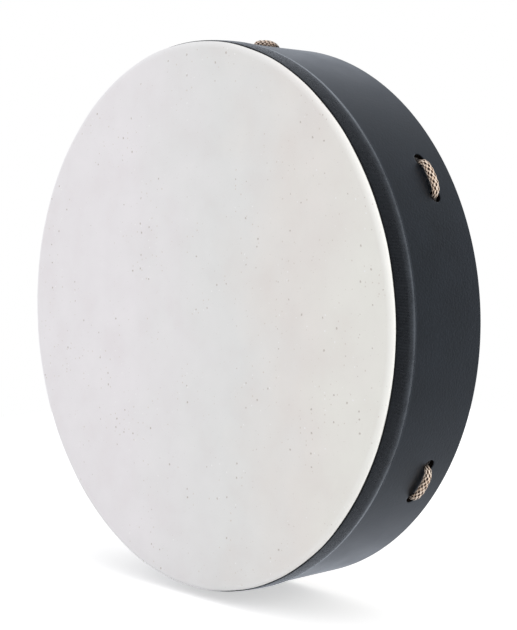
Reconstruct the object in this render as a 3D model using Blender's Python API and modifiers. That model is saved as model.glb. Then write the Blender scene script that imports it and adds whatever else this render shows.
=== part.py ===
# Buffalo drum: a shallow laminated shell with a bonded head, and a laced rope grip in its open back.
# It is drawn lying head up round the Z axis, and one empty then stands it upright, so that
# the head faces -Y, the open back +Y, and the origin is the middle of the rope grip.
import math

import bmesh
import bpy
import numpy as np
from mathutils import Matrix

# Overall sizes, in metres
SHELL_DIAMETER = 0.4064  # over the wrap
DRUM_DEPTH = 0.0889  # from the face of the head to the back rim
FIT_GAP = 0.0003  # between pieces that are bonded together or rest on each other

# Shell and its wrap
SHELL_WALL = 0.0070
WRAP_THICKNESS = 0.0008
RIM_ROUNDING = 0.0010

# Head, glue line and hoop
HEAD_THICKNESS = 0.0012
HEAD_EDGE_RADIUS = 0.0040  # of the roll over the front edge, on its outside
GLUE_THICKNESS = 0.0005
HOOP_SETBACK = 0.0041  # from the face of the head to the hoop
HOOP_WIDTH = 0.0180
HOOP_WALL = 0.0021  # at its crown
HOOP_PROUD = 0.0009  # of the crown over the wrap
HOOP_CROWN = 0.0090  # from the hoop's front edge to its crown
HOOP_BACK_DROP = 0.0008  # from the crown to the back edge
HOOP_FRONT_DROP = 0.0005  # from the crown to the front edge
HOOP_CORNER = 0.0006  # rounding of the hoop's two outer edges
HOOP_SEAM = 0.0005  # groove between the hoop and the wrap

# Rope lacing
ROPE_DIAMETER = 0.0060
ROPE_GAP = 0.0004  # between the rope and what it lies against
STITCH_COUNT = 6
TOP_STITCH_ANGLE = math.radians(87.7)
STITCH_DRIFT = (-2.3, 0, 0, 0, 0.2, 2.0)  # degrees that each was drilled off its even place
HOLE_SPACING = 0.0286  # between the two holes of a stitch, straight across
HOLE_FROM_RIM = 0.0249  # from the back rim to the line of holes
HOLE_CLEARANCE = 0.0016  # round the rope
STITCH_SLACK = 0.0005  # air under the middle of a stitch
STITCH_SQUEEZE = 0.0008  # off the rope's radius where a stitch is drawn over the edge of its hole
SQUARE_END = 0.0010  # straight stretch of a stitch where it meets a span inside the wall
LEAD_IN = 0.030  # over which a span turns from the hole towards the ring

# Grip ring: one rope laid round on itself
RING_DIAMETER = 0.070  # at the middle of its section
RING_ROUNDS = 3  # times that the rope goes round
RING_TWISTS = 14  # turns about the middle of the section, in all its rounds
LAY_GAP = 0.0012  # between neighbouring rounds

# Knot that joins the two ends of the lacing rope
KNOT_SPAN = 3  # which span it is on, counted from 0
KNOT_FROM_WALL = 0.030  # along the span, from its end in the wall to the first tail
KNOT_TURNS = 6
KNOT_GAP = 0.0006  # between neighbouring turns
KNOT_TAIL = 0.014

# Fineness of the meshes
FACETS = 60  # round the drum
HOLE_SIDES = 16
EDGE_STEPS = 3  # along a rounded edge
SMALL_EDGE_STEPS = 2
HOOP_STEPS = 4  # along the hoop's back slope
BEND_STEPS = 5  # where a stitch bends over the edge of its hole
CREST_STEPS = 4  # from there to the middle of the stitch
LEG_STEPS = 12  # of a span between the wall and the ring
WIND_STEPS = 5  # of a span's quarter turn round the ring
TWIST_POINTS = 9  # in a turn of the ring's rope
TURN_POINTS = 10  # in a turn of the knot
TAIL_STEPS = 3
KNOT_SAMPLES = 2000  # along the knot, to add up its turning
LACED_ROUNDNESS = 2  # bevel resolution of the stitches and spans
WOUND_ROUNDNESS = 1  # and of the ring and the knot

# Radii, worked inwards from the wrap
wrap_outer = SHELL_DIAMETER / 2
wrap_inner = wrap_outer - WRAP_THICKNESS
shell_outer = wrap_inner - FIT_GAP
shell_inner = shell_outer - SHELL_WALL
hoop_outer = wrap_outer + HOOP_PROUD
hoop_inner = hoop_outer - HOOP_WALL
collar_outer = hoop_inner - FIT_GAP
collar_inner = collar_outer - HEAD_THICKNESS
glue_outer = collar_inner - FIT_GAP
glue_inner = glue_outer - GLUE_THICKNESS
rabbet = glue_inner - FIT_GAP
edge_centre = collar_outer - HEAD_EDGE_RADIUS

# Heights, with the lacing at 0 and the head on top
rim_height = -HOLE_FROM_RIM
face_height = rim_height + DRUM_DEPTH
head_underside = face_height - HEAD_THICKNESS
edge_height = face_height - HEAD_EDGE_RADIUS
hoop_front = face_height - HOOP_SETBACK
hoop_back = hoop_front - HOOP_WIDTH
shoulder = hoop_back - HOOP_SEAM
collar_end = shoulder + FIT_GAP

# Rope
rope_radius = ROPE_DIAMETER / 2
hole_radius = rope_radius + HOLE_CLEARANCE
hole_angle = math.asin(HOLE_SPACING / 2 / wrap_outer)
stitch_step = 2 * math.pi / STITCH_COUNT
rope_offset = HOLE_CLEARANCE - ROPE_GAP  # the rope is drawn to the stitch's side of its hole
squeezed = 1 - STITCH_SQUEEZE / rope_radius  # share of the radius that is left
bend_radius = rope_radius * squeezed + ROPE_GAP
rope_cut = (shell_inner + shell_outer) / 2  # where stitches and spans meet, inside the wall
ring_radius = RING_DIAMETER / 2
strand_offset = (ROPE_DIAMETER + LAY_GAP) / (2 * math.sin(math.pi / RING_ROUNDS))
bight_radius = strand_offset + ROPE_DIAMETER + ROPE_GAP


def material(name, colour, roughness):
    made = bpy.data.materials.new(name)
    made.use_nodes = True
    shader = made.node_tree.nodes["Principled BSDF"]
    shader.inputs["Base Color"].default_value = (*colour, 1)
    shader.inputs["Roughness"].default_value = roughness
    shader.inputs["Metallic"].default_value = 0
    made.diffuse_color = (*colour, 1)
    return made


def place(name, data, finish, collection):
    made = bpy.data.objects.new(name, data)
    if finish:
        data.materials.append(finish)
    collection.objects.link(made)
    made.parent = upright
    return made


def arc(centre, radius, start, stop, steps=EDGE_STEPS):
    angles = np.radians(np.linspace(start, stop, steps + 1))
    return [(centre[0] + radius * math.cos(a), centre[1] + radius * math.sin(a)) for a in angles]


def turned(name, profile, closed, finish):
    points = [(radius, 0, height) for radius, height in profile]
    edges = [(i, i + 1) for i in range(len(points) - 1)]
    if closed:
        edges.append((len(points) - 1, 0))
    mesh = bpy.data.meshes.new(name)
    mesh.from_pydata(points, edges, [])
    made = place(name, mesh, finish, drum)
    screw = made.modifiers.new("Turn", "SCREW")
    screw.axis = "Z"
    screw.angle = 2 * math.pi
    screw.steps = FACETS
    screw.render_steps = FACETS
    screw.use_merge_vertices = True
    screw.merge_threshold = 0.00001
    screw.use_smooth_shade = True
    return made


def tube(name, points, roundness, cyclic=False, shares=None):
    curve = bpy.data.curves.new(name, "CURVE")
    curve.dimensions = "3D"
    curve.bevel_depth = rope_radius
    curve.bevel_resolution = roundness
    curve.use_fill_caps = not cyclic
    spline = curve.splines.new("POLY")
    spline.points.add(len(points) - 1)
    for slot, point in zip(spline.points, points):
        slot.co = (*point, 1)
    if shares is not None:
        spline.points.foreach_set("radius", shares)
    spline.use_cyclic_u = cyclic
    return place(name, curve, braided_rope, drum)


def polar(radius, angle, height=0.0):
    return np.array([radius * math.cos(angle), radius * math.sin(angle), height])


def cubic(a, b, c, d, steps):
    t = np.linspace(0, 1, steps + 1)[:, None]
    return (1 - t) ** 3 * a + 3 * t * (1 - t) ** 2 * b + 3 * t**2 * (1 - t) * c + t**3 * d


def least_gap(points, cyclic):
    # The free space between stretches of one tube that aren't neighbours along it
    fine = []
    ends = np.roll(points, -1, axis=0) if cyclic else points[1:]
    for a, b in zip(points, ends):
        fine.extend(a + (b - a) * t for t in (0, 0.25, 0.5, 0.75))
    fine = np.array(fine)
    step = np.linalg.norm(np.diff(fine, axis=0), axis=1)
    along = np.concatenate([[0], np.cumsum(step)])
    length = along[-1] + np.linalg.norm(fine[0] - fine[-1]) * cyclic
    apart = np.abs(along[:, None] - along[None])
    if cyclic:
        apart = np.minimum(apart, length - apart)
    distance = np.linalg.norm(fine[:, None] - fine[None], axis=2)
    return distance[apart > 2 * ROPE_DIAMETER].min() - ROPE_DIAMETER


def hole_line(angle, side, radius):
    # A point on the rope inside a hole: side is +1 or -1, towards the middle of its stitch
    return polar(radius, angle) + polar(side * rope_offset, angle + math.pi / 2)


def stitch_path(middle):
    # Half of a stitch bends over the edge of its hole and rises to the middle. It is drawn in the
    # stitch's own plane, along the shell and outwards, and the other half is its mirror image
    edge_angle = hole_angle - math.asin(hole_radius / wrap_outer)
    edge = wrap_outer * np.array([-math.sin(edge_angle), math.cos(edge_angle)])
    top = np.array([0, wrap_outer + rope_radius + STITCH_SLACK])
    lean = math.atan(2 * (top[1] - edge[1] - bend_radius) / -edge[0])
    sweep = np.linspace(math.pi + hole_angle, math.pi / 2 + lean, BEND_STEPS + 1)
    bend = edge + bend_radius * np.stack([np.cos(sweep), np.sin(sweep)], axis=1)
    reach = (top - bend[-1])[0] / 3
    leaving = bend[-1] + reach * np.array([1, math.tan(lean)])
    crest = cubic(bend[-1], leaving, top - (reach, 0), top, CREST_STEPS)
    half = np.vstack([bend, crest[1:]])
    out = polar(1, middle)
    along = polar(1, middle + math.pi / 2)
    half = half @ np.stack([along, out])
    end = rope_cut + FIT_GAP / 2
    square = [hole_line(middle - hole_angle, 1, radius) for radius in (end, end + SQUARE_END)]
    half = np.vstack([square, half])
    mirrored = half - 2 * np.outer(half @ along, along)
    # Its thickness, full inside the wall and at the middle, as a share
    to_middle = np.linspace(1, 0, CREST_STEPS + 1)
    crest_shares = 1 - (1 - squeezed) * to_middle**2
    shares = np.concatenate([np.ones(len(square)), np.full(BEND_STEPS, squeezed), crest_shares])
    return np.vstack([half, mirrored[-2::-1]]), np.concatenate([shares, shares[-2::-1]])


def span_half(middle, following):
    # From a hole to the inside of the ring, in the span's frame: outwards, along the ring, towards the head
    bight = (middle + following) / 2
    out = polar(1, bight)
    along = polar(1, bight + math.pi / 2)
    hole = middle + hole_angle
    wall = hole_line(hole, -1, shell_inner)
    run = polar(ring_radius, bight) - wall
    slope = (run @ along) / -(run @ out)
    quarter = np.linspace(math.pi / 2, math.pi, WIND_STEPS + 1)
    wound = np.stack(
        [
            ring_radius + bight_radius * np.cos(quarter),
            slope * bight_radius * (quarter - math.pi),
            -bight_radius * np.sin(quarter),
        ],
        axis=1,
    )
    heading = np.array([-1, slope, 0]) / math.hypot(1, slope)

    def local(point):
        return np.array([point @ out, point @ along, point[2]])

    start = local(hole_line(hole, -1, rope_cut - FIT_GAP / 2))
    mouth = local(wall)
    lead = local(hole_line(hole, -1, shell_inner - LEAD_IN))
    leg = cubic(mouth, lead, wound[0] - heading * LEAD_IN, wound[0], LEG_STEPS)
    return np.vstack([start, leg, wound[1:]]), out, along


def span_path(index):
    half, out, along = span_half(stitch_middle(index), stitch_middle(index + 1))
    # A half turn about the outward line carries one half onto the other
    whole = np.vstack([half, (half * (1, -1, -1))[-2::-1]])
    return whole @ np.stack([out, along, (0, 0, 1)])


def ring_path():
    turn = np.linspace(0, 2 * math.pi, RING_TWISTS * TWIST_POINTS, endpoint=False)
    lay = RING_TWISTS * turn
    radius = ring_radius + strand_offset * np.cos(lay)
    round_ring = RING_ROUNDS * turn
    height = strand_offset * np.sin(lay)
    return np.stack([radius * np.cos(round_ring), radius * np.sin(round_ring), height], axis=1)


def knot_path(core):
    # Turns round a stretch of rope, whose two tails lie along it
    pitch = ROPE_DIAMETER + KNOT_GAP
    winding = ROPE_DIAMETER + ROPE_GAP
    ramp = pitch / 2
    wound = KNOT_TURNS * pitch
    length = wound + 2 * (KNOT_TAIL + ramp)
    along = np.concatenate(
        [
            np.linspace(0, KNOT_TAIL, TAIL_STEPS + 1)[:-1],
            np.linspace(KNOT_TAIL, length - KNOT_TAIL, (KNOT_TURNS + 1) * TURN_POINTS),
            np.linspace(length - KNOT_TAIL, length, TAIL_STEPS + 1)[1:],
        ]
    )
    # The turning builds up over the first ramp and dies away over the last one
    fine = np.linspace(0, length, KNOT_SAMPLES)
    rate = np.clip(np.minimum(fine - KNOT_TAIL, length - KNOT_TAIL - fine) / ramp, 0, 1)
    angle = np.cumsum(rate) * (fine[1] - fine[0]) * 2 * math.pi / pitch
    step = np.linalg.norm(np.diff(core, axis=0), axis=1)
    travelled = np.concatenate([[0], np.cumsum(step)])
    path = []
    for distance in along:
        at = KNOT_FROM_WALL + distance
        centre = np.array([np.interp(at, travelled, core[:, i]) for i in range(3)])
        ahead = np.array([np.interp(at + rope_radius, travelled, core[:, i]) for i in range(3)])
        forward = (ahead - centre) / np.linalg.norm(ahead - centre)
        side = np.cross(forward, (0, 0, 1))
        side /= np.linalg.norm(side)
        above = np.cross(side, forward)
        turn = np.interp(distance, fine, angle)
        path.append(centre + winding * (math.cos(turn) * above + math.sin(turn) * side))
    return np.array(path)


def stitch_middle(index):
    drift = STITCH_DRIFT[index % len(STITCH_DRIFT)]
    return TOP_STITCH_ANGLE + index * stitch_step + math.radians(drift)


for old in list(bpy.data.objects):
    bpy.data.objects.remove(old)
drum = bpy.data.collections.new("buffalo_drum")
cutters = bpy.data.collections.new("cutters")
for group in (drum, cutters):
    bpy.context.scene.collection.children.link(group)
upright = bpy.data.objects.new("upright", None)
upright.rotation_euler = (math.pi / 2, 0, 0)
drum.objects.link(upright)

fibreboard = material("fibreboard", (0.10, 0.062, 0.037), 0.75)
charcoal_vinyl = material("charcoal_vinyl", (0.026, 0.028, 0.034), 0.5)
black_cloth = material("black_cloth", (0.018, 0.019, 0.022), 0.65)
head_laminate = material("head_laminate", (0.74, 0.71, 0.66), 0.75)
amber_glue = material("amber_glue", (0.36, 0.20, 0.05), 0.35)
braided_rope = material("braided_rope", (0.42, 0.29, 0.16), 0.85)

# Shell: rounded bearing edge in front, a rabbet for the collar, and a flat rim behind
bearing_radius = HEAD_EDGE_RADIUS - HEAD_THICKNESS - FIT_GAP
bearing_height = edge_height + bearing_radius
bearing_stop = math.degrees(math.acos((rabbet - edge_centre) / bearing_radius))
inner_rounding = edge_centre - shell_inner
shell_profile = arc((edge_centre, edge_height), bearing_radius, 90, bearing_stop)
shell_profile += [(rabbet, shoulder), (shell_outer, shoulder), (shell_outer, rim_height)]
rim_corner = (shell_inner + RIM_ROUNDING, rim_height + RIM_ROUNDING)
shell_profile += arc(rim_corner, RIM_ROUNDING, 270, 180, SMALL_EDGE_STEPS)
shell_profile += arc((edge_centre, bearing_height - inner_rounding), inner_rounding, 180, 90)[:-1]
shell = turned("shell", shell_profile, True, fibreboard)

# Wrap: a thin skin from the hoop's seam to the back rim
wrap_back = rim_height + FIT_GAP
wrap_profile = [(wrap_inner, shoulder), (wrap_outer, shoulder)]
wrap_profile += [(wrap_outer, wrap_back), (wrap_inner, wrap_back)]
wrap = turned("shell_wrap", wrap_profile, True, charcoal_vinyl)

# Head: a flat membrane that rolls over the edge into a straight collar
head_profile = [(0, face_height)]
head_profile += arc((edge_centre, edge_height), HEAD_EDGE_RADIUS, 90, 0, EDGE_STEPS + 1)
head_profile += [(collar_outer, collar_end), (collar_inner, collar_end)]
head_profile += arc((edge_centre, edge_height), HEAD_EDGE_RADIUS - HEAD_THICKNESS, 0, 90)
head_profile += [(0, head_underside)]
turned("drum_head", head_profile, False, head_laminate)

# Glue line between the collar and the rabbet
glue_profile = [(glue_inner, edge_height), (glue_outer, edge_height)]
glue_profile += [(glue_outer, collar_end), (glue_inner, collar_end)]
turned("collar_bond", glue_profile, True, amber_glue)

# Hoop: a strap whose outside is crowned, and falls away further to the back than to the front
hoop_profile = [(hoop_inner, hoop_front)]
front_corner = (hoop_outer - HOOP_FRONT_DROP - HOOP_CORNER, hoop_front - HOOP_CORNER)
hoop_profile += arc(front_corner, HOOP_CORNER, 90, 0, SMALL_EDGE_STEPS)
for depth in np.linspace(HOOP_CROWN, HOOP_WIDTH - HOOP_CORNER, HOOP_STEPS + 1):
    share = (depth - HOOP_CROWN) / (HOOP_WIDTH - HOOP_CROWN)
    hoop_profile.append((hoop_outer - HOOP_BACK_DROP * share**2, hoop_front - depth))
hoop_profile.append((hoop_outer - HOOP_BACK_DROP - HOOP_CORNER, hoop_back))
hoop_profile.append((hoop_inner, hoop_back))
turned("head_hoop", hoop_profile, True, black_cloth)

# Lacing holes, drilled through the wrap and the shell
drills = bmesh.new()
drill_depth = 2 * (wrap_outer - shell_inner)
for index in range(STITCH_COUNT):
    for side in (-1, 1):
        angle = stitch_middle(index) + side * hole_angle
        aim = Matrix.Rotation(angle, 4, "Z") @ Matrix.Rotation(math.pi / 2, 4, "Y")
        centre = Matrix.Translation(polar((wrap_outer + shell_inner) / 2, angle))
        bmesh.ops.create_cone(
            drills,
            cap_ends=True,
            segments=HOLE_SIDES,
            radius1=hole_radius,
            radius2=hole_radius,
            depth=drill_depth,
            matrix=centre @ aim,
        )
drill_mesh = bpy.data.meshes.new("lacing_drills")
drills.to_mesh(drill_mesh)
drills.free()
drill = place("lacing_drills", drill_mesh, None, cutters)
drill.hide_render = True
drill.display_type = "WIRE"
for bored in (shell, wrap):
    cut = bored.modifiers.new("Lacing holes", "BOOLEAN")
    cut.operation = "DIFFERENCE"
    cut.solver = "EXACT"
    cut.object = drill

# Lacing rope: stitches outside the shell, and spans inside it that turn round the ring
for index in range(STITCH_COUNT):
    path, shares = stitch_path(stitch_middle(index))
    tube(f"lacing_stitch_{index + 1}", path, LACED_ROUNDNESS, shares=shares)
    tube(f"lacing_span_{index + 1}", span_path(index), LACED_ROUNDNESS)

ring_points = ring_path()
tube("grip_ring", ring_points, WOUND_ROUNDNESS, cyclic=True)
print(f"grip_ring least gap {least_gap(ring_points, True) * 1000:.2f} mm")

knot_points = knot_path(span_path(KNOT_SPAN))
tube("joining_knot", knot_points, WOUND_ROUNDNESS)
print(f"joining_knot least gap {least_gap(knot_points, False) * 1000:.2f} mm")
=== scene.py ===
# Buffalo drum: the finished look of a shallow hand drum with a laced rope grip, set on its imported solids.
# The head faces -Y, the open back +Y, +Z is up, and the origin is the middle of the grip.
import math
from functools import partial

import bmesh
import bpy
import numpy as np
from mathutils import Matrix, Vector


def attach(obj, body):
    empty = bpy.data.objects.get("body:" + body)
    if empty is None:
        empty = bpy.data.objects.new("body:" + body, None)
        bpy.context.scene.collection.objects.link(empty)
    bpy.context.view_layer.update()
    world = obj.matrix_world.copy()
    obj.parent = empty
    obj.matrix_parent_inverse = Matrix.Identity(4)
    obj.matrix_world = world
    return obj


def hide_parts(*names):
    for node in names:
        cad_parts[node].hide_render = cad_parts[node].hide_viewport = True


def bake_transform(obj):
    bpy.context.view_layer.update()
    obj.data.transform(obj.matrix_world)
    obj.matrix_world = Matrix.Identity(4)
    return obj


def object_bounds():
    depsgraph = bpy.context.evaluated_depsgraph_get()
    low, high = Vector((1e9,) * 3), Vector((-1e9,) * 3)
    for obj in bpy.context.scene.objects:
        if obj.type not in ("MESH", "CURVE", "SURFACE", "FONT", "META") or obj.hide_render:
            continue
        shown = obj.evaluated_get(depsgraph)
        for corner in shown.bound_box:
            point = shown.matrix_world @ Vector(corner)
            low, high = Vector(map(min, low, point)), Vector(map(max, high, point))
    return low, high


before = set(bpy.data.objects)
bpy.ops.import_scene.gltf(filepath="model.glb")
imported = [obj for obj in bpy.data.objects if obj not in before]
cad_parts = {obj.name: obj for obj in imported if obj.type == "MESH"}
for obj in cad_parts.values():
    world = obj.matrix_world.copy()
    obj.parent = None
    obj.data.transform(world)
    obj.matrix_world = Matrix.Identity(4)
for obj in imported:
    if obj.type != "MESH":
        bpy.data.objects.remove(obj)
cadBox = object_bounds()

mm = 0.001
towardsHead = np.array([0.0, -1.0, 0.0])

# Sizes that several pieces share, in metres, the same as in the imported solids
drum = {
    "wrapOuter": 203.2 * mm,
    "wrapInner": 202.4 * mm,
    "shellOuter": 202.1 * mm,
    "shellInner": 195.1 * mm,
    "hoopOuter": 204.1 * mm,
    "hoopInner": 202.0 * mm,
    "collarOuter": 201.7 * mm,
    "face": -64.0 * mm,  # depth of the head's face; the lacing is at depth 0
    "rim": 24.9 * mm,  # depth of the back rim
    "hoopFront": -59.9 * mm,
    "hoopBack": -41.9 * mm,
    "shoulder": -41.4 * mm,  # where the wrap starts behind the hoop
    "edgeRadius": 4.0 * mm,  # of the roll of the head over the front edge
    "fitGap": 0.3 * mm,
}

rope = {
    "radius": 3.0 * mm,
    "gap": 0.4 * mm,  # to what it lies against
    "holeRadius": 4.6 * mm,
    "holeSpacing": 28.6 * mm,
    "leadIn": 30.0 * mm,
    "topStitch": 87.7,  # degrees
    "drift": (-2.3, 0, 0, 0, 0.2, 2.0),  # degrees that each stitch was drilled off its even place
    "carriers": 6,  # strands of the braid that run each way round
    "pick": 4.8 * mm,  # length of one crossing along the rope
    "relief": 0.5 * mm,  # depth of the gaps between the strands
}
stitchCount = len(rope["drift"])


def linear(hexCode):
    channels = [int(hexCode[i : i + 2], 16) / 255 for i in (1, 3, 5)]
    return (*[c / 12.92 if c <= 0.04045 else ((c + 0.055) / 1.055) ** 2.4 for c in channels], 1)


def patternScale(size):
    # Scale of a texture whose features are this many millimetres across
    return 1 / (size * mm)


def setInputs(node, inputs):
    # A value is a number or a colour, a socket, or a node that gives its first open socket
    for name, value in inputs.items():
        if isinstance(value, bpy.types.Node):
            value = next(socket for socket in value.outputs if socket.enabled)
        if isinstance(value, bpy.types.NodeSocket):
            node.id_data.links.new(value, node.inputs[name])
        else:
            node.inputs[name].default_value = value


def addNode(tree, kind, inputs=None, stops=None, **settings):
    made = tree.nodes.new("ShaderNode" + kind)
    for name, value in settings.items():
        setattr(made, name, value)
    setInputs(made, inputs or {})
    if stops:
        elements = made.color_ramp.elements
        while len(elements) < len(stops):
            elements.new(0.5)
        for element, (place, colour) in zip(elements, stops):
            element.position = place
            element.color = linear(colour) if isinstance(colour, str) else (colour, colour, colour, 1)
    return made


def newMaterial(name, inputs):
    # Gives the material, the function that adds a node to it, and its shader
    made = bpy.data.materials.new(name)
    made.use_nodes = True
    shader = made.node_tree.nodes["Principled BSDF"]
    setInputs(shader, inputs)
    return made, partial(addNode, made.node_tree), shader


# Head film: a polyester film faced with a fibrous paper-like laminate. Matte and off-white,
# with a soft mottle and a scatter of grey and tan flecks that were laid in with the fibres
film = {
    # Painted light: paler and cooler at its left edge, warmer to its right, as the light falls across it, and
    # how unevenly
    "lightAcross": {"From Min": -200 * mm, "From Max": 200 * mm, "To Min": -0.15, "To Max": 0.85},
    "unevenLight": 0.3,
    "tints": [(0.3, "#fffdff"), (0.6, "#f8f9f8"), (0.8, "#faf7f3"), (0.97, "#fcfcf6")],
    "rollHighlight": {"From Min": 197.5 * mm, "From Max": 201.0 * mm, "To Max": 0.4},  # by distance from the axis
    "ragged": 1.2 * mm,  # how far the outline of a fleck strays
    "clustered": 1.1,
    # Width of a cell and of its largest fleck in mm, share of cells that stay bare, and tone
    "flecks": ((11, 0.66, 0.8, "#c3bab2"), (6, 0.5, 0.78, "#dcd5cd"), (9, 0.5, 0.84, "#fdfcfb")),
    "outline": {"From Min": 0.03, "From Max": -0.01, "To Max": 0.8},  # of a fleck, in cells
}


def makeHeadLaminate():
    finish = {"Roughness": 0.62, "IOR": 1.5, "Specular IOR Level": 0.25}
    made, add, shader = newMaterial("fibreLaminate", finish)
    place = add("TexCoord").outputs["Object"]
    mottle = add("TexNoise", {"Vector": place, "Scale": patternScale(26), "Detail": 4.0})
    warmth = add("TexNoise", {"Vector": place, "Scale": patternScale(60), "Detail": 2.0})
    base = add("ValToRGB", {"Fac": mottle}, [(0.3, "#f1efee"), (0.5, "#f3f2f1"), (0.7, "#f5f4f3")])
    axes = add("SeparateXYZ", {"Vector": place}).outputs
    # Painted light across the head: lighter and cooler to the left, warmer to the right
    across = add("MapRange", {"Value": axes["X"], **film["lightAcross"]})
    sideLit = add("Math", {0: warmth, 1: film["unevenLight"], 2: across}, operation="MULTIPLY_ADD")
    tint = add("ValToRGB", {"Fac": sideLit}, film["tints"])
    tinted = add("Mix", {0: 1.0, 6: base, 7: tint}, data_type="RGBA", blend_type="MULTIPLY")
    # Painted highlight: the roll over the edge is whiter
    plane = add("CombineXYZ", {"X": axes["X"], "Y": axes["Z"]})
    fromAxis = add("VectorMath", {0: plane}, operation="LENGTH")
    rollLit = add("MapRange", {"Value": fromAxis, **film["rollHighlight"]})
    colour = add("Mix", {0: rollLit, 6: tinted, 7: linear("#ffffff")}, data_type="RGBA")
    # Flecks: one in some of the cells of a flat pattern, of uneven size and tone
    ragged = add("TexNoise", {"Vector": place, "Scale": patternScale(1.2), "Detail": 2.0})
    strays = (film["ragged"], film["ragged"], 0)
    nudge = add("VectorMath", {0: ragged.outputs["Color"], 1: strays, 2: plane}, operation="MULTIPLY_ADD")
    clusters = add("TexNoise", {"Vector": place, "Scale": patternScale(38), "Detail": 1.0})
    for cell, size, bare, tone in film["flecks"]:
        grains = add(
            "TexVoronoi", {"Vector": nudge, "Scale": patternScale(cell)}, voronoi_dimensions="2D",
        ).outputs
        pick = add("SeparateColor", {"Color": grains["Color"]}).outputs["Red"]
        # The cell's own random number sets how big its fleck is, and leaves many cells bare
        crowd = add("Math", {0: clusters, 1: film["clustered"], 2: pick}, operation="MULTIPLY_ADD")
        lot = add("Math", {0: crowd, 1: film["clustered"] / 2}, operation="SUBTRACT", use_clamp=True)
        reach = add("MapRange", {"Value": lot, "From Min": bare, "To Max": size / cell})
        edge = add("Math", {0: grains["Distance"], 1: reach}, operation="SUBTRACT")
        inside = add("MapRange", {"Value": edge, **film["outline"]})
        colour = add("Mix", {0: inside, 6: colour, 7: linear(tone)}, data_type="RGBA")
    # The fibres stand up about a third of a millimetre apart, drawn at one so that they show
    fibres = add("TexNoise", {"Vector": place, "Scale": patternScale(1.0), "Detail": 5.0, "Roughness": 0.6})
    bump = add("Bump", {"Height": fibres, "Strength": 0.25, "Distance": 0.12 * mm})
    setInputs(shader, {"Base Color": colour, "Normal": bump})
    return made


# Hoop tape: a woven black cloth strap, coated. A low sheen on a fine weave, with a painted highlight: grey
# towards its crown and a light line along it
tape = {
    "thread": 1.5,  # mm; threads are 0.5 mm apart, drawn coarser so that they show
    "wander": 1.6 * mm,  # how far the painted highlight line strays
    # Painted highlight: how grey it is, and how light its line, from the front edge at 0 to the back edge at
    # 1
    "paintedHighlight": [(0.55, 0.0), (0.78, 0.36), (0.87, 0.9), (0.94, 0.5), (1.0, 0.2)],
    "wearAndHighlight": [(0.75, 0.0), (0.83, 0.9), (0.9, 0.8), (0.97, 0.15)],
    "lineFaintestAt": 14 * mm,  # height at which the painted highlight line is faintest, and how it is above and below that
    "lineNearTopAndBottom": {"From Min": 85 * mm, "From Max": 195 * mm, "To Max": 0.88},
    "roughness": {"From Min": 0.3, "From Max": 0.7, "To Min": 0.24, "To Max": 0.32},
}


def makeHoopCloth():
    made, add, shader = newMaterial("coatedClothTape", {"IOR": 1.5, "Specular IOR Level": 0.24})
    coords = add("UVMap", uv_map="turned")
    place = add("TexCoord").outputs["Object"]
    strand = {"Vector": coords, "Scale": patternScale(tape["thread"]) / 2, "Distortion": 0.4, "Detail": 1.0}
    warp, weft = [
        add("TexWave", strand, bands_direction=direction).outputs["Fac"] for direction in ("X", "Y")
    ]
    weave = add("Math", {0: warp, 1: weft}, operation="MULTIPLY")
    wear = add("TexNoise", {"Vector": place, "Scale": patternScale(9), "Detail": 6.0, "Roughness": 0.65})
    tone = add("Math", {0: weave, 1: 0.5, 2: wear}, operation="MULTIPLY_ADD")
    colour = add("ValToRGB", {"Fac": tone}, [(0.35, "#07090c"), (0.7, "#0d1014"), (1.0, "#191c21")])
    # Painted highlight: grey towards the crown, and lightest on it
    axes = add("SeparateXYZ", {"Vector": place}).outputs
    wander = add("TexNoise", {"Vector": place, "Scale": patternScale(40), "Detail": 2.0})
    shifted = add("Math", {0: wander, 1: tape["wander"], 2: axes["Y"]}, operation="MULTIPLY_ADD")
    start, stop = drum["hoopFront"] + tape["wander"] / 2, drum["hoopBack"] + tape["wander"] / 2
    width = add("MapRange", {"Value": shifted, "From Min": start, "From Max": stop})
    crowned = add("ValToRGB", {"Fac": width}, tape["paintedHighlight"])
    paintedHighlight = add("Math", {0: crowned, 1: wear}, operation="MULTIPLY")
    greyed = add("Mix", {0: paintedHighlight, 6: colour, 7: linear("#686e76")}, data_type="RGBA")
    # Painted highlight: a light line along the crown, strongest at the bottom and less so at the top
    lowered = add("Math", {0: axes["Z"], 1: tape["lineFaintestAt"]}, operation="SUBTRACT")
    height = add("Math", {0: lowered}, operation="ABSOLUTE")
    lineNearTopAndBottom = add("MapRange", {"Value": height, **tape["lineNearTopAndBottom"]}, interpolation_type="SMOOTHSTEP")
    line = add("ValToRGB", {"Fac": width}, tape["wearAndHighlight"])
    through = add("Math", {0: lineNearTopAndBottom, 1: line}, operation="MULTIPLY")
    lined = add("Mix", {0: through, 6: greyed, 7: linear("#a3a9b1")}, data_type="RGBA")
    rough = add("MapRange", {"Value": wear, **tape["roughness"]})
    bump = add("Bump", {"Height": tone, "Strength": 0.9, "Distance": 0.36 * mm})
    setInputs(shader, {"Base Color": lined, "Roughness": rough, "Normal": bump})
    return made


# Shell wrap: a calendered charcoal vinyl skin. Satin, with a fine pebbled grain that breaks up the shine
skin = {
    "pebble": 1.7,  # mm; pebbles are 0.4 mm across, drawn coarser so that they show
    "paintedHighlight": {"From Min": -40.2 * mm, "From Max": -41.8 * mm, "To Max": 0.36},  # grey at its front edge
    "roughness": {"From Min": 0.3, "From Max": 0.7, "To Min": 0.28, "To Max": 0.35},
}


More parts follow.
